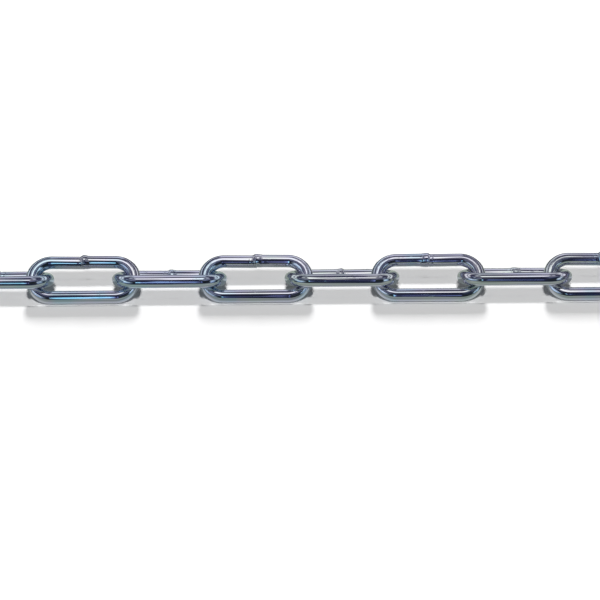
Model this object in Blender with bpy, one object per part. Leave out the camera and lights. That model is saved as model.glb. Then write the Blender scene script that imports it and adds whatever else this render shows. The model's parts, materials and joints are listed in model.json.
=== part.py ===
"""One metre of welded long-link steel chain, pulled straight on a level floor.

Every link is one piece of round wire, bent to a long ring and butt-welded in the middle of one
straight leg. The links lean alternately to either side of the chain's line, as a loose chain lies.
The chain runs along X, the floor is at Z = 0, and the origin is on the floor under the middle of
the length.
"""

import math

import bpy
from mathutils import Vector

# Driving dimensions, in metres and degrees
WIRE_DIAMETER = 0.006
INNER_LENGTH = 0.042
OUTER_WIDTH = 0.024
LINK_COUNT = 24
LEAN = math.radians(28.5)

# How far each link stands short of its taut place, so that the crossing wires stay clear
PLAY = 0.0015

# The weld's raised bead, round the middle of one leg
BEAD_LENGTH = 0.0046
BEAD_RISE = 0.00042

# A link swings about a line just beyond the crown wire of the link before it
SWING_CLEARANCE = 0.0006

# Facets of the wire, of its bends and of the bead
BEVEL_RESOLUTION = 4
SECTION_SIDES = 4 + 2 * BEVEL_RESOLUTION
CROWN_SEGMENTS = 8
BEAD_SEGMENTS = 4

# Sizes that follow from the driving dimensions
WIRE_RADIUS = WIRE_DIAMETER / 2
CROWN_RADIUS = (OUTER_WIDTH - WIRE_DIAMETER) / 2
STRAIGHT_LENGTH = INNER_LENGTH + WIRE_DIAMETER - 2 * CROWN_RADIUS
PITCH = INNER_LENGTH - PLAY
SWING_REACH = STRAIGHT_LENGTH / 2 + CROWN_RADIUS + SWING_CLEARANCE

# From a section's centre to the middle of a facet, as a share of its radius
FACET_SHARE = math.cos(math.pi / SECTION_SIDES)

# The bead stands proud to one side of the link's plane, so its underside is level with the leg
BEAD_SIDE_SHIFT = BEAD_RISE * FACET_SHARE / math.cos(LEAN)

# The centre line of every link lies at one height, with its lower leg on the floor
LINK_HEIGHT = CROWN_RADIUS * math.sin(LEAN) + WIRE_RADIUS * FACET_SHARE

# The turn of the wire's section that lays the middle of its third facet flat on the floor
SECTION_TURN = math.pi / 2 - LEAN - 2.5 * 2 * math.pi / SECTION_SIDES


def link_centre(number):
    """Middle of the link with this number, counted from 1 at the -X end."""
    along = (number - (LINK_COUNT + 1) / 2) * PITCH
    return Vector((along, 0, LINK_HEIGHT))


def link_lean(number):
    """Turn of the link's plane about X: an odd link's welded leg is the low one."""
    return -LEAN if number % 2 else LEAN


def crown_points(side):
    """Centre line of one rounded end, side +1 or -1, as (point, radius factor) pairs."""
    centre = side * STRAIGHT_LENGTH / 2
    points = []
    for step in range(CROWN_SEGMENTS + 1):
        angle = side * math.pi * (step / CROWN_SEGMENTS - 0.5)
        x = centre + side * CROWN_RADIUS * math.cos(angle)
        y = CROWN_RADIUS * math.sin(angle)
        points.append(((x, y, 0), 1.0))
    return points


def bead_points():
    """Centre line of the weld on the +Y leg, run towards -X, swelling to the bead and back."""
    points = []
    for step in range(BEAD_SEGMENTS + 1):
        share = step / BEAD_SEGMENTS
        swell = math.sin(math.pi * share) ** 2
        x = BEAD_LENGTH * (0.5 - share)
        place = (x, CROWN_RADIUS, BEAD_SIDE_SHIFT * swell)
        points.append((place, 1 + BEAD_RISE * swell / WIRE_RADIUS))
    return points


def link_curve():
    """The wire of one link as a closed curve in its own XY plane."""
    curve = bpy.data.curves.new("link_wire", "CURVE")
    curve.dimensions = "3D"
    curve.bevel_depth = WIRE_RADIUS
    curve.bevel_resolution = BEVEL_RESOLUTION
    points = crown_points(1) + bead_points() + crown_points(-1)
    spline = curve.splines.new("POLY")
    spline.points.add(len(points) - 1)
    for point, (place, radius) in zip(spline.points, points):
        point.co = (*place, 1)
        point.radius = radius
        point.tilt = SECTION_TURN
    spline.use_cyclic_u = True
    spline.use_smooth = True
    return curve


def zinc_material():
    """Bright zinc plating, slightly blue."""
    material = bpy.data.materials.new("bright_zinc")
    material.use_nodes = True
    shader = material.node_tree.nodes["Principled BSDF"]
    shader.inputs["Base Color"].default_value = (0.62, 0.65, 0.72, 1)
    shader.inputs["Metallic"].default_value = 1.0
    shader.inputs["Roughness"].default_value = 0.22
    return material


def clear_scene():
    """Removes whatever the scene holds."""
    for leftover in list(bpy.data.objects):
        bpy.data.objects.remove(leftover, do_unlink=True)


def build_chain():
    """The links, each under an empty on the crown of the link before it, about which it swings."""
    collection = bpy.data.collections.new("long_link_chain")
    bpy.context.scene.collection.children.link(collection)
    wire = link_curve()
    wire.materials.append(zinc_material())
    carrier = None
    carrier_place = Vector((0, 0, 0))
    for number in range(1, LINK_COUNT + 1):
        if number > 1:
            swing_place = link_centre(number - 1) + Vector((SWING_REACH, 0, 0))
            swing = bpy.data.objects.new(f"swing_{number:02d}", None)
            swing.empty_display_size = WIRE_RADIUS
            swing.location = swing_place - carrier_place
            swing.parent = carrier
            collection.objects.link(swing)
            carrier = swing
            carrier_place = swing_place
        link = bpy.data.objects.new(f"link_{number:02d}", wire)
        link.location = link_centre(number) - carrier_place
        link.rotation_euler = (link_lean(number), 0, 0)
        link.parent = carrier
        collection.objects.link(link)


clear_scene()
build_chain()
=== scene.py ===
"""Bright zinc-plated long-link chain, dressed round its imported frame.

The chain lies pulled straight on a pale studio floor. It is seen close up, from the front and from
above, so that it runs out of the picture to both sides. Every link is made anew as a smooth ring of
round wire with the uneven collar of its butt weld, and rides on the body of the link it stands for.
"""

from __future__ import annotations

import json
import logging
import math
import random
from collections.abc import Iterable
from dataclasses import dataclass
from enum import Enum

import bmesh
import bpy
from mathutils import Matrix, Vector, noise

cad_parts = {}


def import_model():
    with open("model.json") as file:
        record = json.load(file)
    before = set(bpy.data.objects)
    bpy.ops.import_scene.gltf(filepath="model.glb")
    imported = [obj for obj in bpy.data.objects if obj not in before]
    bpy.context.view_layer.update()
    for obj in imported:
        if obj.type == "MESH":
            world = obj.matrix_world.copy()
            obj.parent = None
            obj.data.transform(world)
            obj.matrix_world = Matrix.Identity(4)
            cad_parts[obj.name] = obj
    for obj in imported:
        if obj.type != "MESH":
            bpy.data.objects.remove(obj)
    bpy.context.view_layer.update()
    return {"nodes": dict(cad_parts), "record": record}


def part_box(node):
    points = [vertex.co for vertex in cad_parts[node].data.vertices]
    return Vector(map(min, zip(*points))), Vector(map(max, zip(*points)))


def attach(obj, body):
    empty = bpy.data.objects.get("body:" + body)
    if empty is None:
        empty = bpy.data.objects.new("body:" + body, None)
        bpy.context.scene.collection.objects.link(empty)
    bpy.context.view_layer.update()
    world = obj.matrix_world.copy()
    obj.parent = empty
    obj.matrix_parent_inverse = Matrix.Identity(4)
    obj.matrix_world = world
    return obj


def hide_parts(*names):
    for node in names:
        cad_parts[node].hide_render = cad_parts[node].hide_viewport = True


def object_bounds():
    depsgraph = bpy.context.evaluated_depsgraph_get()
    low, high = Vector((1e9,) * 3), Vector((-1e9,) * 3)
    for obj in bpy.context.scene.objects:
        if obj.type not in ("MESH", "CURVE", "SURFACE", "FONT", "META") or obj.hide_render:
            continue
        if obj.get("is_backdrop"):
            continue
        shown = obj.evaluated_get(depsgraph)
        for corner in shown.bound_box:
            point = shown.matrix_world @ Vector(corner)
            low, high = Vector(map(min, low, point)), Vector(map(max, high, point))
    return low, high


LOG = logging.getLogger("chain")
RUN_LAYER = "wire_run"
HEAT_LAYER = "weld_heat"
WEAR_LAYER = "crown_wear"
BLUE_LAYER = "bluing"
MIDDLE_NODES = ("link_12", "link_13")
HALF_TURN = 180
QUARTER_TURN = 90

# A link's plane leans so many degrees to one side or the other
LEAN_DEGREES = 28.5

# These seeds give the middle links welds and tints like those in the photograph
WELD_SEED = 2892
BLUING_SEED = 36128

# A link's tint lies up to this much of the colour ramp from the middle
BLUING_SPREAD = 0.13

Colour = tuple[float, float, float]
Stop = tuple[float, Colour]


class Lie(Enum):
    """Which leg of a link lies on the floor: its welded one, or the plain one."""

    WELD_LOW = -1
    WELD_HIGH = 1

    @classmethod
    def of(cls, number: int) -> Lie:
        """The lie of a link by its number: the odd ones rest on their welds."""
        return cls.WELD_LOW if number % 2 else cls.WELD_HIGH


class Ground(Enum):
    """The two sheets of the strip of floor: in front of the chain, and under and behind it."""

    FRONT = "front"
    REAR = "rear"


def smooth_step(low: float, high: float, value: float) -> float:
    """Share from 0 at low to 1 at high, with level ends.

    Args:
        low: Value where the share is 0.
        high: Value where the share is 1. It may lie under low.
        value: Value to place between them.

    Returns:
        The eased share, from 0 to 1.
    """
    share = min(1.0, max(0.0, (value - low) / (high - low)))
    return share * share * (3 - 2 * share)


def middle_of(node: str) -> float:
    """X of the middle of one of the frame's nodes."""
    low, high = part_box(node)
    return (low.x + high.x) / 2


@dataclass(frozen=True)
class WireForm:
    """The ring of round wire that all links share, in metres.

    A link's own frame has its long side on X, its width on Y with the weld on the +Y leg, and Z
    across its face. The angle round the wire is 0 on the outside of the ring and grows towards +Z.
    """

    wire_diameter: float = 0.006
    inner_length: float = 0.042
    outer_width: float = 0.024
    lean: float = math.radians(LEAN_DEGREES)
    section_sides: int = 48
    crown_steps: int = 36
    plain_leg_steps: int = 12
    weld_zone: float = 0.0074
    weld_steps: int = 60
    run_up_steps: int = 5
    merge_distance: float = 0.000003
    facets_in_frame: int = 12

    @property
    def wire_radius(self) -> float:
        """Half the wire's thickness."""
        return self.wire_diameter / 2

    @property
    def crown_radius(self) -> float:
        """Bend of the rounded ends, at the wire's centre line."""
        return (self.outer_width - self.wire_diameter) / 2

    @property
    def straight_length(self) -> float:
        """Length of a leg between the two rounded ends."""
        return self.inner_length + self.wire_diameter - 2 * self.crown_radius

    @property
    def run_length(self) -> float:
        """Length of the whole closed centre line."""
        return 2 * self.straight_length + 2 * math.pi * self.crown_radius

    @property
    def rest_height(self) -> float:
        """Height of a lying link's middle, whose low leg stands on one facet of the frame's solid."""
        facet_share = math.cos(math.pi / self.facets_in_frame)
        return self.crown_radius * math.sin(self.lean) + self.wire_radius * facet_share

    def place_on_wire(self, point: Vector) -> tuple[float, float, float]:
        """Where a point of the ring lies along and across the wire.

        Args:
            point: A point on or near the wire's surface, in the link's own frame.

        Returns:
            Distance along the centre line from the weld, offset away from the middle of the ring,
            and offset across its face.
        """
        half = self.straight_length / 2
        bend = math.pi * self.crown_radius
        if abs(point.x) <= half:
            offset = abs(point.y) - self.crown_radius
            if point.y < 0:
                return 2 * half + bend - point.x, offset, point.z
            along = point.x if point.x >= 0 else self.run_length + point.x
            return along, offset, point.z
        past = abs(point.x) - half
        offset = math.hypot(past, point.y) - self.crown_radius
        turned = math.atan2(past, point.y) * self.crown_radius
        if point.x > 0:
            return half + turned, offset, point.z
        return 3 * half + 2 * bend - turned, offset, point.z


@dataclass(frozen=True)
class WeldCollar:
    """The upset metal of one butt weld, in metres and radians, drawn at random for its link.

    The two wire ends miss each other a little. The end that stands out ends in a steep lip over
    the joint line, which bows out towards the other end, and slopes gently back the other way.
    Fields named until and end are shares of a reach: up to the first the form is full, and at the
    second it is gone.
    """

    rise: float
    crest_angle: float
    inner_rise: float
    inner_angle: float
    high_side: int
    step: float
    steep_reach: float
    gentle_reach: float
    bow: float
    wander: float
    wander_turn: float
    lump_seed: float
    step_angle: float = math.radians(LEAN_DEGREES)
    step_reach: float = 0.00025
    step_follows: float = 0.6
    floor_angle: float = math.radians(LEAN_DEGREES - QUARTER_TURN)
    bare_angle: float = math.radians(28)
    full_angle: float = math.radians(66)
    full_until: float = 0.25
    crest_sharpness: float = 1.4
    inner_sharpness: float = 4
    ripple: float = 0.4
    ripple_waves: int = 3
    groove: float = 0.3
    groove_place: float = -0.00045
    groove_reach: float = 0.00022
    lump: float = 0.00006
    lump_size: float = 0.0013
    lumps_until: float = 0.5
    lumps_end: float = 1.15
    fine_lump: float = 0.45
    fine_lump_scale: float = 2.3
    heat_reach: float = 0.0036
    heat_until: float = 0.2

    @classmethod
    def drawn(cls, number: int) -> WeldCollar:
        """Draws the collar of one link.

        Args:
            number: The link's number, which seeds the draw.

        Returns:
            A collar of its own size, crest, high side and step between the two wire ends.
        """
        draw = random.Random(WELD_SEED + number)
        return cls(
            rise=draw.uniform(0.00026, 0.00042),
            crest_angle=math.radians(draw.uniform(30, 62)),
            inner_rise=draw.uniform(0.00005, 0.0005),
            inner_angle=math.radians(draw.uniform(180, 205)),
            high_side=draw.choice((-1, 1)),
            step=draw.uniform(0.00030, 0.00044),
            steep_reach=draw.uniform(0.0006, 0.0010),
            gentle_reach=draw.uniform(0.0030, 0.0046),
            bow=draw.uniform(0.0004, 0.0008),
            wander=draw.uniform(0.0001, 0.0003),
            wander_turn=draw.uniform(0, 2 * math.pi),
            lump_seed=draw.uniform(10, 90),
        )

    def joint_at(self, angle: float) -> float:
        """Where the joint line crosses this side of the wire, along X."""
        ripple = math.sin(self.ripple_waves * angle - self.wander_turn)
        drift = math.sin(angle + self.wander_turn) + self.ripple * ripple
        return self.wander * drift - self.high_side * self.bow * math.cos(angle - self.crest_angle)

    def clear_of_floor(self, angle: float) -> float:
        """Share of the swelling that is left on this side: none where the leg may lie on the floor."""
        aside = math.cos(angle - self.floor_angle)
        return smooth_step(math.cos(self.bare_angle), math.cos(self.full_angle), aside)

    def rise_at(self, along: float, angle: float) -> float:
        """Height of the collar over the plain wire.

        Args:
            along: Distance from the link's middle, towards +X.
            angle: Angle round the wire.

        Returns:
            The rise in metres, which is nothing where the collar faces the floor.
        """
        run = (along - self.joint_at(angle)) * self.high_side
        swell = smooth_step(-self.steep_reach, 0, run)
        swell *= smooth_step(self.gentle_reach, self.full_until * self.gentle_reach, run)
        notch = math.exp(-(((run - self.groove_place) / self.groove_reach) ** 2))
        outer = (0.5 + 0.5 * math.cos(angle - self.crest_angle)) ** self.crest_sharpness
        inner = (0.5 + 0.5 * math.cos(angle - self.inner_angle)) ** self.inner_sharpness
        height = self.rise * outer + self.inner_rise * inner
        cut = self.groove * self.rise * notch * outer
        return (height * swell - cut) * self.clear_of_floor(angle)

    def lump_at(self, point: Vector, along: float, angle: float) -> float:
        """Uneven skin of the collar, fading out along the wire and towards the floor."""
        end, full = self.lumps_end * self.gentle_reach, self.lumps_until * self.gentle_reach
        reach = smooth_step(end, full, abs(along))
        spot = point / self.lump_size + Vector((self.lump_seed, 0, 0))
        coarse = noise.noise(spot)
        fine = noise.noise(spot * self.fine_lump_scale)
        return self.lump * (coarse + self.fine_lump * fine) * reach * self.clear_of_floor(angle)

    def step_at(self, along: float, angle: float, half_leg: float) -> Vector:
        """Shift of the wire's centre line, by which the two ends miss each other at the joint."""
        run = along - self.joint_at(angle) * self.step_follows
        share = smooth_step(-self.step_reach, self.step_reach, run) - 0.5
        fade = 1 - min(1.0, abs(along) / half_leg)
        way = Vector((0, math.cos(self.step_angle), math.sin(self.step_angle)))
        return way * self.step * self.high_side * share * fade

    def heat_at(self, along: float) -> float:
        """How far the weld has dulled the plating, from 1 at the joint to 0."""
        return smooth_step(self.heat_reach, self.heat_until * self.heat_reach, abs(along))


class NodeBoard:
    """A node tree that is filled one node at a time, by what feeds each socket."""

    # Places of a colour mix's sockets: its factor, its two colours and its result
    MIX_INPUTS = (0, 6, 7)
    MIX_OUTPUT = 2

    def __init__(self, tree: bpy.types.NodeTree) -> None:
        """Takes a tree and empties it."""
        self.tree = tree
        tree.nodes.clear()

    def add(self, kind: str, inputs: dict | None = None, **settings: object) -> bpy.types.Node:
        """Adds a node.

        Args:
            kind: Blender's name of the node's type.
            inputs: Value, or output socket, for each input by its name or number.
            settings: Properties of the node itself.

        Returns:
            The new node.
        """
        node = self.tree.nodes.new(kind)
        for name, value in settings.items():
            setattr(node, name, value)
        for name, value in (inputs or {}).items():
            if isinstance(value, bpy.types.NodeSocket):
                self.tree.links.new(value, node.inputs[name])
            else:
                node.inputs[name].default_value = value
        return node

    def maths(self, operation: str, *values: object) -> bpy.types.NodeSocket:
        """A maths node of one operation on sockets or numbers, as its output socket."""
        inputs = dict(enumerate(values))
        return self.add("ShaderNodeMath", inputs, operation=operation).outputs[0]

    def ramp(self, factor: bpy.types.NodeSocket, stops: Iterable[Stop]) -> bpy.types.NodeSocket:
        """A colour ramp.

        Args:
            factor: Socket that runs through the ramp.
            stops: Place from 0 to 1 and colour of each stop, in order.

        Returns:
            The ramp's colour socket.
        """
        node = self.add("ShaderNodeValToRGB", {"Fac": factor})
        elements = node.color_ramp.elements
        while len(elements) > 1:
            elements.remove(elements[-1])
        for index, (place, colour) in enumerate(stops):
            element = elements[0] if index == 0 else elements.new(place)
            element.position = place
            element.color = (*colour, 1)
        return node.outputs["Color"]

    def blend(
        self, factor: object, low: object, high: object, way: str = "MIX"
    ) -> bpy.types.NodeSocket:
        """Mixes two colours.

        Args:
            factor: Socket or number that says how much of the second colour there is.
            low: Socket or colour that comes first.
            high: Socket or colour that comes second.
            way: Blender's name of the way to mix them.

        Returns:
            The mix's colour socket.
        """
        node = self.add("ShaderNodeMix", data_type="RGBA", blend_type=way)
        for number, value in zip(self.MIX_INPUTS, (factor, low, high)):
            if isinstance(value, bpy.types.NodeSocket):
                self.tree.links.new(value, node.inputs[number])
            else:
                full = (*value, 1) if isinstance(value, tuple) else value
                node.inputs[number].default_value = full
        return node.outputs[self.MIX_OUTPUT]

    def ease(self, value: bpy.types.NodeSocket, low: float, high: float) -> bpy.types.NodeSocket:
        """A share that runs smoothly from 0 where the value is low to 1 where it is high."""
        node = self.add(
            "ShaderNodeMapRange",
            {"Value": value, "From Min": low, "From Max": high},
            interpolation_type="SMOOTHSTEP",
        )
        return node.outputs[0]


@dataclass(frozen=True)
class BrightZinc:
    """Bright electroplated zinc over drawn steel wire, from lilac through sage to sky blue.

    Lengths, widths, depths and sizes are in metres. An edge is the pair of noise values between
    which a mark fades in.
    """

    name: str = "bright_zinc"
    tints: tuple[Stop, ...] = (
        (0.28, (0.63, 0.68, 0.69)),
        (0.42, (0.67, 0.665, 0.72)),
        (0.56, (0.65, 0.64, 0.755)),
        (0.72, (0.54, 0.655, 0.75)),
    )
    tint_size: float = 0.016
    tint_detail: float = 2.0
    polish: float = 0.035
    draw_dulling: float = 0.04
    weld_dulling: float = 0.08
    wear_dulling: float = 0.05
    nick_dulling: float = 0.10
    draw_width: float = 0.00035
    draw_length: float = 0.03
    draw_depth: float = 0.000004
    flat_width: float = 0.0013
    flat_length: float = 0.045
    flat_depth: float = 0.00018
    knock_size: float = 0.0019
    knock_stretch: float = 1.6
    knock_depth: float = 0.0001
    nick_length: float = 0.0028
    nick_width: float = 0.0003
    nick_depth: float = 0.000016
    nick_edge: tuple[float, float] = (0.66, 0.76)
    nick_patch: float = 0.011
    patch_edge: tuple[float, float] = (0.56, 0.68)
    grain_roughness: float = 0.55

    def material(self) -> bpy.types.Material:
        """Makes the plating's material.

        Returns:
            A metal whose drawing lines and flats run along the wire round each ring, knocked about
            at the crowns, where the links rub.
        """
        made = bpy.data.materials.new(self.name)
        made.use_nodes = True
        board = NodeBoard(made.node_tree)
        run = board.add("ShaderNodeAttribute", attribute_name=RUN_LAYER).outputs["Vector"]
        heat = board.add("ShaderNodeAttribute", attribute_name=HEAT_LAYER).outputs["Fac"]
        wear = board.add("ShaderNodeAttribute", attribute_name=WEAR_LAYER).outputs["Fac"]
        blue = board.add("ShaderNodeAttribute", attribute_name=BLUE_LAYER).outputs["Fac"]
        lines = self._grain(board, run, self.draw_length, self.draw_width, detail=2)
        flats = self._grain(board, run, self.flat_length, self.flat_width, detail=1)
        knock_length = self.knock_stretch * self.knock_size
        knocks = self._grain(board, run, knock_length, self.knock_size, detail=2)
        spots = self._grain(board, run, self.nick_length, self.nick_width, detail=1)
        patches = self._grain(board, run, self.nick_patch, self.nick_patch, detail=0)
        patch = board.ease(patches, *self.patch_edge)
        nicks = board.maths("MULTIPLY", board.ease(spots, *self.nick_edge), patch)

        relief = board.maths("MULTIPLY", lines, self.draw_depth)
        relief = board.maths("MULTIPLY_ADD", flats, self.flat_depth, relief)
        dents = board.maths("MULTIPLY", board.maths("MULTIPLY", knocks, wear), self.knock_depth)
        relief = board.maths("ADD", relief, dents)
        relief = board.maths("MULTIPLY_ADD", nicks, -self.nick_depth, relief)
        bump = board.add("ShaderNodeBump", {"Height": relief, "Distance": 1.0, "Strength": 1.0})

        dull = board.maths("MULTIPLY_ADD", lines, self.draw_dulling, self.polish)
        dull = board.maths("MULTIPLY_ADD", heat, self.weld_dulling, dull)
        dull = board.maths("MULTIPLY_ADD", wear, self.wear_dulling, dull)
        dull = board.maths("MULTIPLY_ADD", nicks, self.nick_dulling, dull)

        place = board.add("ShaderNodeTexCoord").outputs["Object"]
        cloud = board.add(
            "ShaderNodeTexNoise",
            {"Vector": place, "Scale": 1 / self.tint_size, "Detail": self.tint_detail},
        ).outputs["Fac"]
        shade = board.maths("ADD", cloud, blue)
        shader = board.add(
            "ShaderNodeBsdfPrincipled",
            {
                "Base Color": board.ramp(shade, self.tints),
                "Metallic": 1.0,
                "Roughness": dull,
                "Normal": bump.outputs["Normal"],
            },
        )
        board.add("ShaderNodeOutputMaterial", {"Surface": shader.outputs[0]})
        return made

    def _grain(
        self,
        board: NodeBoard,
        run: bpy.types.NodeSocket,
        length: float,
        width: float,
        detail: float,
    ) -> bpy.types.NodeSocket:
        """Noise that is stretched along the wire.

        Args:
            board: The material's nodes.
            run: Place along and across the wire, in metres.
            length: Length of a streak along the wire.
            width: Width of a streak round the wire.
            detail: How many finer octaves the noise has.

        Returns:
            The noise's value socket, from 0 to 1.
        """
        scaled = board.add(
            "ShaderNodeVectorMath",
            {0: run, 1: (1 / length, 1 / width, 1 / width)},
            operation="MULTIPLY",
        )
        field = board.add(
            "ShaderNodeTexNoise",
            {
                "Vector": scaled.outputs[0],
                "Scale": 1.0,
                "Detail": detail,
                "Roughness": self.grain_roughness,
            },
        )
        return field.outputs["Fac"]


@dataclass
class ChainLink:
    """One link: a closed ring of wire with a weld collar, leaning on its low leg."""

    number: int
    form: WireForm
    lie: Lie
    centre: Vector
    weld: WeldCollar

    @property
    def name(self) -> str:
        """The piece's name."""
        return f"zinc_link_{self.number:02d}"

    @property
    def node(self) -> str:
        """Name of the frame's node and body that the piece stands for."""
        return f"link_{self.number:02d}"

    def build(self, finish: bpy.types.Material) -> bpy.types.Object:
        """Builds the link where it lies.

        Args:
            finish: The plating's material.

        Returns:
            The link's object, at the origin with its place in its mesh.
        """
        form = self.form
        half = form.straight_length / 2
        shape = bmesh.new()
        ring = self._first_section(shape)
        ring = self._bend(shape, ring, half)
        ring = self._draw_out(shape, ring, self._weld_leg_stations())
        ring = self._bend(shape, ring, -half)
        self._draw_out(shape, ring, self._plain_leg_stations())
        bmesh.ops.remove_doubles(shape, verts=shape.verts, dist=form.merge_distance)
        self._mark_wire(shape)
        self._upset_weld(shape)
        bmesh.ops.recalc_face_normals(shape, faces=shape.faces)
        lean = Matrix.Rotation(self.lie.value * form.lean, 4, "X")
        bmesh.ops.transform(shape, matrix=Matrix.Translation(self.centre) @ lean, verts=shape.verts)
        for face in shape.faces:
            face.smooth = True
        mesh = bpy.data.meshes.new(self.name)
        shape.to_mesh(mesh)
        shape.free()
        mesh.materials.append(finish)
        piece = bpy.data.objects.new(self.name, mesh)
        bpy.context.scene.collection.objects.link(piece)
        return piece

    def _first_section(self, shape: bmesh.types.BMesh) -> list[bmesh.types.BMEdge]:
        """Round section of the plain leg where the +X crown starts, as its edges."""
        form = self.form
        upright = Matrix.Rotation(math.pi / 2, 4, "Y")
        place = Matrix.Translation((form.straight_length / 2, -form.crown_radius, 0))
        made = bmesh.ops.create_circle(
            shape, segments=form.section_sides, radius=form.wire_radius, matrix=place @ upright
        )
        return list({edge for vert in made["verts"] for edge in vert.link_edges})

    def _bend(
        self, shape: bmesh.types.BMesh, ring: list[bmesh.types.BMEdge], centre: float
    ) -> list[bmesh.types.BMEdge]:
        """Bends the wire half round a crown.

        Args:
            shape: The mesh in the making.
            ring: Edges of the last section.
            centre: X of the crown's centre.

        Returns:
            The edges of the new last section.
        """
        made = bmesh.ops.spin(
            shape,
            geom=ring,
            cent=(centre, 0, 0),
            axis=(0, 0, 1),
            angle=math.pi,
            steps=self.form.crown_steps,
            use_merge=False,
        )
        return [part for part in made["geom_last"] if isinstance(part, bmesh.types.BMEdge)]

    def _draw_out(
        self, shape: bmesh.types.BMesh, ring: list[bmesh.types.BMEdge], stations: list[float]
    ) -> list[bmesh.types.BMEdge]:
        """Draws the wire out straight along X.

        Args:
            shape: The mesh in the making.
            ring: Edges of the last section.
            stations: X of each new section, in order.

        Returns:
            The edges of the new last section.
        """
        for station in stations:
            made = bmesh.ops.extrude_edge_only(shape, edges=ring)["geom"]
            verts = [part for part in made if isinstance(part, bmesh.types.BMVert)]
            ring = [part for part in made if isinstance(part, bmesh.types.BMEdge)]
            here = verts[0].co.x
            bmesh.ops.translate(shape, vec=(station - here, 0, 0), verts=verts)
        return ring

    def _weld_leg_stations(self) -> list[float]:
        """X of the sections of the welded leg, run towards -X, close together at the weld."""
        form = self.form
        half, zone = form.straight_length / 2, form.weld_zone / 2
        steps = range(1, form.run_up_steps + 1)
        run_up = [half + (zone - half) * step / form.run_up_steps for step in steps]
        middle = [zone * (1 - 2 * step / form.weld_steps) for step in range(1, form.weld_steps)]
        return run_up + middle + [-station for station in reversed(run_up)] + [-half]

    def _plain_leg_stations(self) -> list[float]:
        """X of the sections of the plain leg, run towards +X and evenly apart."""
        half, count = self.form.straight_length / 2, self.form.plain_leg_steps
        return [half * (2 * step / count - 1) for step in range(1, count + 1)]

    def _mark_wire(self, shape: bmesh.types.BMesh) -> None:
        """Writes each point's place on the wire, its heat, wear and bluing, as attributes."""
        form = self.form
        run = shape.verts.layers.float_vector.new(RUN_LAYER)
        heat = shape.verts.layers.float.new(HEAT_LAYER)
        wear = shape.verts.layers.float.new(WEAR_LAYER)
        blue = shape.verts.layers.float.new(BLUE_LAYER)
        half = form.straight_length / 2
        bluing = random.Random(BLUING_SEED + self.number).uniform(-BLUING_SPREAD, BLUING_SPREAD)
        for vert in shape.verts:
            along, offset, across = form.place_on_wire(vert.co)
            vert[run] = Vector((along + self.number * form.run_length, offset, across))
            vert[heat] = self.weld.heat_at(min(along, form.run_length - along))
            vert[wear] = smooth_step(half, half + form.crown_radius, abs(vert.co.x))
            vert[blue] = bluing

    def _upset_weld(self, shape: bmesh.types.BMesh) -> None:
        """Raises the collar and steps the two wire ends against each other."""
        half = self.form.straight_length / 2
        for vert in shape.verts:
            if vert.co.y < 0 or abs(vert.co.x) > half:
                continue
            along = vert.co.x
            out = Vector((0, vert.co.y - self.form.crown_radius, vert.co.z)).normalized()
            angle = math.atan2(out.z, out.y)
            height = self.weld.rise_at(along, angle) + self.weld.lump_at(vert.co, along, angle)
            vert.co += out * height + self.weld.step_at(along, angle, half)


@dataclass
class ChainRun:
    """All links of the chain, in the places that the frame gives them."""

    form: WireForm
    finish: BrightZinc
    slot: str

    def build(self, nodes: list[str]) -> list[bpy.types.Object]:
        """Builds a link for each node of the frame.

        Args:
            nodes: The nodes' names, which end in the links' numbers.

        Returns:
            The links' objects, riding on their bodies.
        """
        plating = self.finish.material()
        pieces = []
        for node in sorted(nodes):
            number = int(node.rsplit("_", 1)[1])
            centre = Vector((middle_of(node), 0, self.form.rest_height))
            link = ChainLink(number, self.form, Lie.of(number), centre, WeldCollar.drawn(number))
            piece = link.build(plating)
            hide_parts(link.node)
            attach(piece, link.node)
            pieces.append(piece)
            LOG.info("%s: %d faces, for %s", piece.name, len(piece.data.polygons), link.node)
        return pieces


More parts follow.
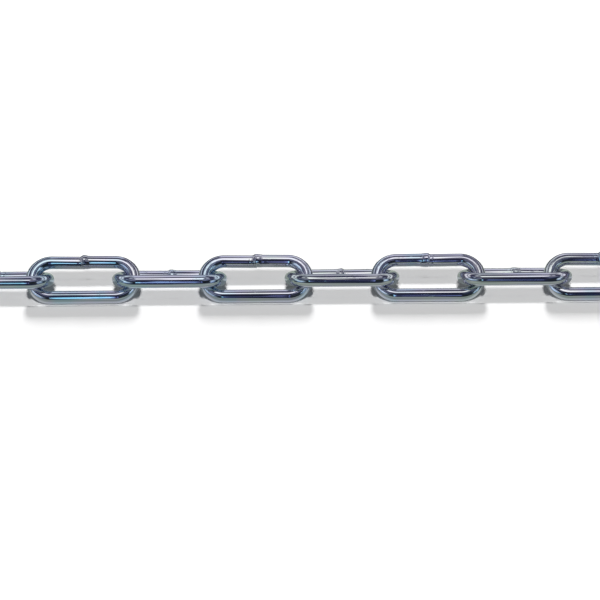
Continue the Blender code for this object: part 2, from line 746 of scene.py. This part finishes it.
@dataclass(frozen=True)
class StudioFloor:
    """A pale strip of floor under the chain, and the wider ground that only the wires mirror.

    The strip is as wide as the chain's shadows and as white as what lies round it, so that links
    which swing down past it stay in sight. The wider ground is a painted reflection of a lit and
    shaded floor. It gives off light though it is no lamp, in bands given by how far it lies from the
    chain's line, as a share of its reach, with painted shade close to the line. All lengths are in
    metres.
    """

    pale: Colour = (0.9, 0.9, 0.9)
    half_length: float = 0.56
    front_edge: float = -0.034
    parting: float = -0.0107
    rear_edge: float = 0.024
    painted_reflection_size: float = 30.0
    reach: float = 0.1
    # Painted reflection of the floor: emitted colours by distance from the chain's line, with painted
    # shade nearest it and dimmer far off
    painted_reflection_bands: tuple[Stop, ...] = (
        (0.00, (0.20, 0.23, 0.23)),
        (0.055, (0.23, 0.26, 0.25)),
        (0.068, (0.58, 0.62, 0.62)),
        (0.105, (0.52, 0.56, 0.56)),
        (0.14, (0.26, 0.30, 0.28)),
        (0.18, (0.28, 0.32, 0.29)),
        (0.24, (0.38, 0.44, 0.38)),
        (0.36, (0.385, 0.45, 0.39)),
        (0.50, (0.22, 0.26, 0.24)),
        (0.62, (0.06, 0.07, 0.08)),
        (1.00, (0.02, 0.03, 0.05)),
    )

    def build(self, level: float) -> dict[Ground, bpy.types.Object]:
        """Lays the strip as two sheets meeting under the chain's front legs, and the
        painted-reflection ground.

        Args:
            level: Height of their surface.

        Returns:
            The strip's sheets, in front of the chain and under and behind it.
        """
        paper = self._paper()
        edges = {
            Ground.FRONT: (self.front_edge, self.parting),
            Ground.REAR: (self.parting, self.rear_edge),
        }
        sheets = {}
        for side, (front, rear) in edges.items():
            name = f"studio_floor_{side.value}"
            sheets[side] = self._lay(name, self.half_length, front, rear, level, paper)
            sheets[side].visible_glossy = False
        # Painted reflection: a wide sheet that gives off light, seen only by the wires
        size = self.painted_reflection_size
        wide = self._lay("painted_reflection_ground", size, -size, size, level, self._painted_reflection_material())
        wide.visible_camera = False
        wide.visible_diffuse = False
        wide.visible_shadow = False
        return sheets

    @staticmethod
    def _lay(
        name: str,
        half_length: float,
        front: float,
        rear: float,
        level: float,
        finish: bpy.types.Material,
    ) -> bpy.types.Object:
        """Lays one level sheet.

        Args:
            name: The sheet's name.
            half_length: Half its length along the chain.
            front: Its edge towards the camera.
            rear: Its edge away from the camera.
            level: Height of its surface.
            finish: Its material.

        Returns:
            The sheet's object.
        """
        shape = bmesh.new()
        bmesh.ops.create_grid(shape, x_segments=1, y_segments=1, size=1)
        bmesh.ops.scale(shape, vec=(half_length, (rear - front) / 2, 1), verts=shape.verts)
        bmesh.ops.translate(shape, vec=(0, (rear + front) / 2, level), verts=shape.verts)
        mesh = bpy.data.meshes.new(name)
        shape.to_mesh(mesh)
        shape.free()
        mesh.materials.append(finish)
        sheet = bpy.data.objects.new(name, mesh)
        bpy.context.scene.collection.objects.link(sheet)
        sheet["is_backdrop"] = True
        return sheet

    def _paper(self) -> bpy.types.Material:
        """Matt pale paper."""
        made = bpy.data.materials.new("studio_paper")
        made.use_nodes = True
        board = NodeBoard(made.node_tree)
        matt = board.add("ShaderNodeBsdfDiffuse", {"Color": (*self.pale, 1)})
        board.add("ShaderNodeOutputMaterial", {"Surface": matt.outputs[0]})
        return made

    def _painted_reflection_material(self) -> bpy.types.Material:
        """Painted reflection of a lit floor, given off as light in bands along the chain, with painted
        shade near it.
        """
        made = bpy.data.materials.new("painted_reflection_ground")
        made.use_nodes = True
        board = NodeBoard(made.node_tree)
        place = board.add("ShaderNodeTexCoord").outputs["Object"]
        split = board.add("ShaderNodeSeparateXYZ", {"Vector": place})
        aside = board.maths("ABSOLUTE", split.outputs["Y"])
        painted_reflection_bands = board.ramp(board.maths("DIVIDE", aside, self.reach), self.painted_reflection_bands)
        # Painted reflection of the lit floor and its shade, given off as light; from below the ground
        # is clear
        painted_reflection = board.add("ShaderNodeEmission", {"Color": painted_reflection_bands})
        clear = board.add("ShaderNodeBsdfTransparent")
        below = board.add("ShaderNodeNewGeometry").outputs["Backfacing"]
        whole = board.add("ShaderNodeMixShader", {0: below, 1: painted_reflection.outputs[0], 2: clear.outputs[0]})
        board.add("ShaderNodeOutputMaterial", {"Surface": whole.outputs[0]})
        return made


@dataclass(frozen=True)
class SoftKey:
    """One far lamp that casts the chain's shadows, in the plane across the chain.

    Its height is the angle from the camera's side over the top, and its width is how wide an
    angle it fills, both in radians.
    """

    name: str
    height: float
    energy: float
    width: float = math.radians(10)
    lights: Ground | None = None
    shaded_by: Lie | None = None

    def hang(
        self, pieces: list[bpy.types.Object], floor: dict[Ground, bpy.types.Object]
    ) -> bpy.types.Object:
        """Hangs the lamp, which the wires don't mirror.

        Args:
            pieces: The chain's links, in order. Those of the lamp's lie cast its shadows, or all.
            floor: The floor's two sheets. The lamp falls on the one that it lights, or on both.

        Returns:
            The lamp's object.
        """
        lamp = bpy.data.lights.new(self.name, "SUN")
        lamp.energy = self.energy
        lamp.angle = self.width
        key = bpy.data.objects.new(self.name, lamp)
        toward = Vector((0, -math.cos(self.height), math.sin(self.height)))
        key.rotation_euler = toward.to_track_quat("Z", "Y").to_euler()
        key.visible_glossy = False
        bpy.context.scene.collection.objects.link(key)
        if self.shaded_by:
            casters = bpy.data.collections.new(f"{self.name}_casters")
            for number, piece in enumerate(pieces, start=1):
                if Lie.of(number) is self.shaded_by:
                    casters.objects.link(piece)
            key.light_linking.blocker_collection = casters
        if self.lights:
            lit = bpy.data.collections.new(f"{self.name}_ground")
            lit.objects.link(floor[self.lights])
            key.light_linking.receiver_collection = lit
        return key


@dataclass(frozen=True)
class StudioLight:
    """Soft light: panels that the wires mirror, an even fill, and three keys for the shadows.

    Over the chain's line the surroundings are strips along it, given by their angle from the
    camera's side over the top to the far side. To both sides they are panels given by height. All
    these angles are in degrees. The glints, which add blue to the low strips in front, and
    blue_sides, which dims the low panels in front, are given by how far a direction points along
    the chain, from -1 to 1. Each edge is the pair of values between which one light gives way to
    the next.
    """

    gain: float = 1.4
    fill: float = 0.12
    ground: float = 1.2
    keys: tuple[SoftKey, ...] = (
        SoftKey("front_key", height=math.radians(62), energy=1.83, lights=Ground.REAR),
        SoftKey("top_key", height=math.radians(91), energy=1.61),
        SoftKey(
            "rear_key",
            height=math.radians(154),
            energy=3.68,
            lights=Ground.FRONT,
            shaded_by=Lie.WELD_HIGH,
        ),
    )
    strips: tuple[Stop, ...] = (
        (0, (0.004, 0.008, 0.022)),
        (16, (0.008, 0.012, 0.030)),
        (34, (0.012, 0.014, 0.030)),
        (50, (0.012, 0.014, 0.030)),
        (60, (0.07, 0.075, 0.10)),
        (71, (0.13, 0.13, 0.16)),
        (76, (0.98, 1.00, 0.98)),
        (92, (0.98, 1.00, 0.98)),
        (96, (0.12, 0.12, 0.16)),
        (101, (0.06, 0.06, 0.09)),
        (119, (0.06, 0.06, 0.09)),
        (126, (0.38, 0.39, 0.45)),
        (132, (0.60, 0.61, 0.68)),
        (146, (0.60, 0.61, 0.68)),
        (154, (0.32, 0.33, 0.40)),
        (163, (0.22, 0.23, 0.28)),
        (180, (0.34, 0.36, 0.41)),
    )
    front_panels: tuple[Stop, ...] = (
        (0, (0.05, 0.08, 0.13)),
        (6, (0.28, 0.40, 0.58)),
        (11, (0.62, 0.80, 0.98)),
        (15, (0.10, 0.14, 0.20)),
        (18, (0.12, 0.16, 0.22)),
        (21, (0.78, 0.94, 1.0)),
        (25, (0.78, 0.94, 1.0)),
        (29, (0.05, 0.07, 0.12)),
        (44, (0.02, 0.025, 0.05)),
        (50, (0.26, 0.29, 0.38)),
        (54, (0.05, 0.055, 0.09)),
        (66, (0.13, 0.13, 0.17)),
        (72, (0.30, 0.30, 0.34)),
        (77, (0.05, 0.05, 0.08)),
        (86, (0.90, 0.92, 0.93)),
    )
    rear_panels: tuple[Stop, ...] = (
        (0, (0.17, 0.18, 0.19)),
        (9, (0.07, 0.07, 0.09)),
        (18, (0.06, 0.06, 0.09)),
        (23, (0.74, 0.76, 0.79)),
        (27, (0.74, 0.76, 0.79)),
        (30, (0.16, 0.17, 0.20)),
        (33, (0.16, 0.17, 0.20)),
        (36, (0.66, 0.68, 0.71)),
        (39, (0.60, 0.62, 0.65)),
        (43, (0.05, 0.05, 0.08)),
        (60, (0.04, 0.04, 0.07)),
        (65, (0.36, 0.37, 0.41)),
        (71, (0.32, 0.33, 0.37)),
        (76, (0.05, 0.05, 0.08)),
        (86, (0.90, 0.92, 0.93)),
    )
    blue_sides: tuple[Stop, ...] = (
        (-0.95, (0.4, 0.4, 0.4)),
        (-0.84, (1.0, 1.0, 1.0)),
        (-0.55, (0.85, 0.85, 0.85)),
        (-0.38, (0.2, 0.2, 0.2)),
        (-0.25, (0.03, 0.03, 0.03)),
        (0.62, (0.05, 0.05, 0.05)),
        (0.71, (0.85, 0.85, 0.85)),
        (0.86, (0.85, 0.85, 0.85)),
        (0.94, (0.1, 0.1, 0.1)),
    )
    glints: tuple[Stop, ...] = (
        (-0.066, (0.46, 0.90, 1.10)),
        (-0.060, (0.20, 0.29, 0.52)),
        (-0.036, (0.15, 0.19, 0.37)),
        (-0.028, (0.09, 0.10, 0.20)),
        (-0.004, (0.07, 0.075, 0.15)),
        (0.004, (0.02, 0.02, 0.03)),
        (0.045, (0.02, 0.02, 0.04)),
        (0.052, (0.11, 0.14, 0.28)),
        (0.090, (0.17, 0.23, 0.46)),
        (0.096, (0.03, 0.03, 0.07)),
    )
    glint_span: float = 0.4
    glint_heights: tuple[float, float, float, float] = (9, 17, 27, 34)
    side_span: float = 2.0
    blue_edge: tuple[float, float] = (0.5, 0.33)
    strip_edge: tuple[float, float] = (0.08, 0.15)
    front_edge: tuple[float, float] = (-0.15, 0.15)

    def build(
        self, pieces: list[bpy.types.Object], floor: dict[Ground, bpy.types.Object]
    ) -> list[bpy.types.Object]:
        """Sets the world and hangs the keys.

        Args:
            pieces: The chain's links, in order.
            floor: The floor's two sheets.

        Returns:
            The keys' objects.
        """
        self._surround()
        return [key.hang(pieces, floor) for key in self.keys]

    def _surround(self) -> None:
        """The panels that reflections see, an even fill for matt things and a white ground behind."""
        world = bpy.data.worlds.new("studio")
        world.use_nodes = True
        bpy.context.scene.world = world
        board = NodeBoard(world.node_tree)
        direction = board.add("ShaderNodeTexCoord").outputs["Generated"]
        split = board.add("ShaderNodeSeparateXYZ", {"Vector": direction})
        aside, back, up = (split.outputs[axis] for axis in "XYZ")
        over = board.maths("ARCTAN2", up, board.maths("MULTIPLY", back, -1.0))
        over = board.maths("DIVIDE", over, math.pi)
        line = self._by_angle(board, over, self.strips, HALF_TURN)
        glint = self._by_side(board, aside, self.glints, self.glint_span)
        line = board.blend(self._glint_height(board, over), line, glint, "ADD")

        height = board.maths("DIVIDE", board.maths("ARCSINE", up), math.pi / 2)
        front = self._by_angle(board, height, self.front_panels, QUARTER_TURN)
        low = board.ease(height, *self.blue_edge)
        blue = self._by_side(board, aside, self.blue_sides, self.side_span)
        dim = board.blend(low, (1.0, 1.0, 1.0), blue)
        front = board.blend(1.0, front, dim, "MULTIPLY")
        rear = self._by_angle(board, height, self.rear_panels, QUARTER_TURN)
        sides = board.blend(board.ease(back, *self.front_edge), front, rear)
        away = board.ease(board.maths("ABSOLUTE", aside), *self.strip_edge)
        panels = board.blend(away, line, sides)

        mirrored = board.add("ShaderNodeBackground", {"Color": panels, "Strength": self.gain})
        even = board.add("ShaderNodeBackground", {"Color": (1, 1, 1, 1), "Strength": self.fill})
        white = board.add("ShaderNodeBackground", {"Color": (1, 1, 1, 1), "Strength": self.ground})
        path = board.add("ShaderNodeLightPath")
        lit = board.add(
            "ShaderNodeMixShader",
            {0: path.outputs["Is Glossy Ray"], 1: even.outputs[0], 2: mirrored.outputs[0]},
        )
        whole = board.add(
            "ShaderNodeMixShader",
            {0: path.outputs["Is Camera Ray"], 1: lit.outputs[0], 2: white.outputs[0]},
        )
        board.add("ShaderNodeOutputWorld", {"Surface": whole.outputs[0]})

    @staticmethod
    def _by_angle(
        board: NodeBoard, share: bpy.types.NodeSocket, stops: tuple[Stop, ...], span: float
    ) -> bpy.types.NodeSocket:
        """Colours given by an angle in degrees, read by its share of the whole span."""
        return board.ramp(share, [(degrees / span, colour) for degrees, colour in stops])

    @staticmethod
    def _by_side(
        board: NodeBoard, aside: bpy.types.NodeSocket, stops: tuple[Stop, ...], span: float
    ) -> bpy.types.NodeSocket:
        """Colours given by how far a direction points to the left or right, within a span about 0."""
        share = board.maths("MULTIPLY_ADD", aside, 1 / span, 0.5)
        return board.ramp(share, [(place / span + 0.5, colour) for place, colour in stops])

    def _glint_height(self, board: NodeBoard, over: bpy.types.NodeSocket) -> bpy.types.NodeSocket:
        """Share of the glints at an angle over the chain: full between their two middle heights."""
        low, full, high, gone = (degrees / HALF_TURN for degrees in self.glint_heights)
        return board.maths("MULTIPLY", board.ease(over, low, full), board.ease(over, gone, high))


@dataclass(frozen=True)
class PhotoView:
    """The camera: in front of the chain and above it, far off, with a long lens.

    The pixels say where the photograph has the chain: the distance between two links' middles,
    the column of the chain's middle and the row of the line through the links' middles.
    """

    image_px: float = 600
    pitch_px: float = 86.3
    middle_column_px: float = 298.9
    run_row_px: float = 278.25
    elevation: float = math.radians(36)
    roll: float = math.radians(-0.41)
    distance: float = 1.3
    far_clip: float = 100

    def build(self, pitch: float, middle: Vector) -> bpy.types.Object:
        """Sets up the camera.

        Args:
            pitch: Distance from one link's middle to the next one's, in metres.
            middle: The chain's middle, on the line through the links' middles.

        Returns:
            The camera's object, set as the scene's camera.
        """
        width = self.image_px / self.pitch_px * pitch
        eye = bpy.data.cameras.new("photo_camera")
        eye.lens = eye.sensor_width * self.distance / width
        eye.clip_end = self.far_clip
        camera = bpy.data.objects.new("photo_camera", eye)
        back = Vector((0, -math.cos(self.elevation), math.sin(self.elevation)))
        turn = back.to_track_quat("Z", "Y").to_matrix() @ Matrix.Rotation(self.roll, 3, "Z")
        metres_per_px = width / self.image_px
        right = (self.image_px / 2 - self.middle_column_px) * metres_per_px
        down = (self.image_px / 2 - self.run_row_px) * metres_per_px
        aim = middle + turn @ Vector((right, -down, 0))
        camera.matrix_world = Matrix.Translation(aim + back * self.distance) @ turn.to_4x4()
        bpy.context.scene.collection.objects.link(camera)
        bpy.context.scene.camera = camera
        return camera


def main() -> None:
    """Builds the camera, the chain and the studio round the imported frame."""
    logging.basicConfig(level=logging.INFO, format="%(name)s: %(message)s")
    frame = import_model()
    form = WireForm()
    first, second = (middle_of(node) for node in MIDDLE_NODES)
    pitch = second - first
    PhotoView().build(pitch, Vector(((first + second) / 2, 0, form.rest_height)))
    slot = frame["record"]["materials"][0]["slot"]
    pieces = ChainRun(form, BrightZinc(), slot).build(list(frame["nodes"]))
    low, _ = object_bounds()
    floor = StudioFloor().build(low.z)
    StudioLight().build(pieces, floor)
    bpy.context.scene.view_settings.view_transform = "Standard"
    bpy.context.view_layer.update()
    low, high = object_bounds()
    LOG.info("%d links, %.4f m over all", len(pieces), (high - low).x)


if __name__ == "__main__":
    main()
